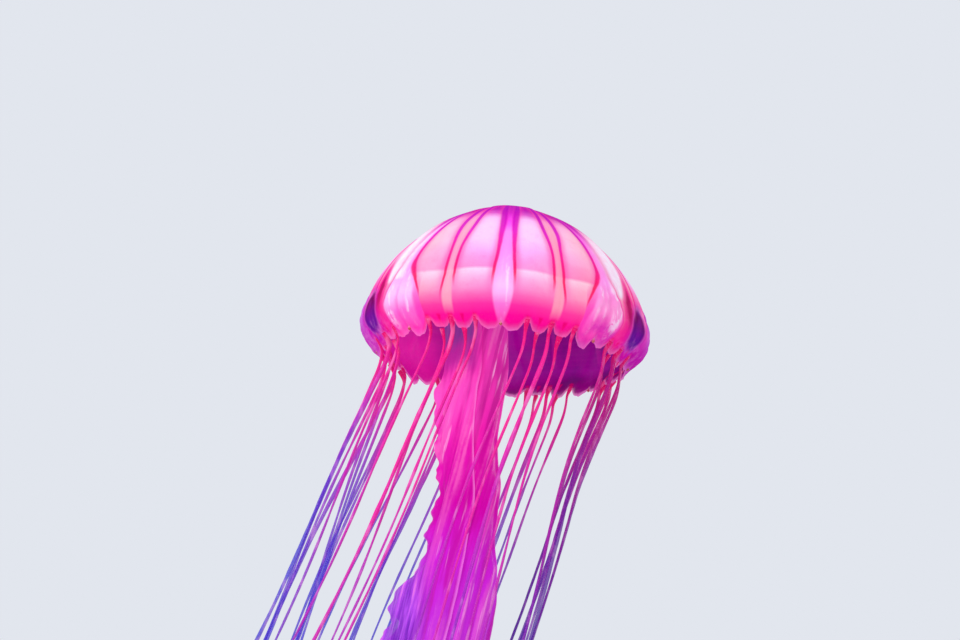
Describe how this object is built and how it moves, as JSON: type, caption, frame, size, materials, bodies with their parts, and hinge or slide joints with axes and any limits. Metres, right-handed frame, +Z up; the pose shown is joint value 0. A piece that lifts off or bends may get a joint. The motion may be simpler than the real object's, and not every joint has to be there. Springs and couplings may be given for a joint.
{
  "type": "jellyfish",
  "caption": "Life-size still model of a striped sea nettle, its bell leaning, frilled arms and fine tentacles trailing to one side, held on a slim rod over a round base.",
  "frame": {"origin": "centre of the underside of the display stand's base", "axes": "+Z up, +X the side that the bell leans to and away from which the tentacles trail, -Y the front"},
  "size_m": [0.4141, 0.24, 0.6621],
  "materials": {
    "bell_flesh": "wet translucent jelly, pale pink panels between paired magenta radial stripes, white spindles over the sense organs",
    "margin_flesh": "wet translucent jelly, hot pink turning clear violet at the lappets, with fine tentacles deep red at their roots",
    "arm_flesh": "wet translucent frilled ribbons, magenta with pale pink lengthwise streaks, violet at the frills",
    "tentacle_flesh": "wet translucent thread, red at the root, hot pink, then violet-blue along its length",
    "rod_steel": "satin stainless steel, drawn lengthwise",
    "base_finish": "fine powder coat, dark grey, satin"
  },
  "bodies": {
    "root": {"bell": "bell_flesh", "manubrium": "arm_flesh", "margin_1_1": "margin_flesh", "margin_1_2": "margin_flesh", "margin_2_1": "margin_flesh", "margin_2_2": "margin_flesh", "margin_3_1": "margin_flesh", "margin_3_2": "margin_flesh", "margin_4_1": "margin_flesh", "margin_4_2": "margin_flesh", "margin_5_1": "margin_flesh", "margin_5_2": "margin_flesh", "margin_6_1": "margin_flesh", "margin_6_2": "margin_flesh", "margin_7_1": "margin_flesh", "margin_7_2": "margin_flesh", "margin_8_1": "margin_flesh", "margin_8_2": "margin_flesh", "oral_arm_1_1": "arm_flesh", "oral_arm_1_2": "arm_flesh", "oral_arm_1_3": "arm_flesh", "oral_arm_2_1": "arm_flesh", "oral_arm_2_2": "arm_flesh", "oral_arm_2_3": "arm_flesh", "oral_arm_3_1": "arm_flesh", "oral_arm_3_2": "arm_flesh", "oral_arm_3_3": "arm_flesh", "oral_arm_4_1": "arm_flesh", "oral_arm_4_2": "arm_flesh", "oral_arm_4_3": "arm_flesh", "tentacle_1_1": "tentacle_flesh", "tentacle_1_2": "tentacle_flesh", "tentacle_1_3": "tentacle_flesh", "tentacle_2_1": "tentacle_flesh", "tentacle_2_2": "tentacle_flesh", "tentacle_2_3": "tentacle_flesh", "tentacle_3_1": "tentacle_flesh", "tentacle_3_2": "tentacle_flesh", "tentacle_3_3": "tentacle_flesh", "tentacle_4_1": "tentacle_flesh", "tentacle_4_2": "tentacle_flesh", "tentacle_4_3": "tentacle_flesh", "tentacle_5_1": "tentacle_flesh", "tentacle_5_2": "tentacle_flesh", "tentacle_5_3": "tentacle_flesh", "tentacle_6_1": "tentacle_flesh", "tentacle_6_2": "tentacle_flesh", "tentacle_6_3": "tentacle_flesh", "tentacle_7_1": "tentacle_flesh", "tentacle_7_2": "tentacle_flesh", "tentacle_7_3": "tentacle_flesh", "tentacle_8_1": "tentacle_flesh", "tentacle_8_2": "tentacle_flesh", "tentacle_8_3": "tentacle_flesh", "stand_base": "base_finish", "stand_rod": "rod_steel"}
  },
  "joints": []
}
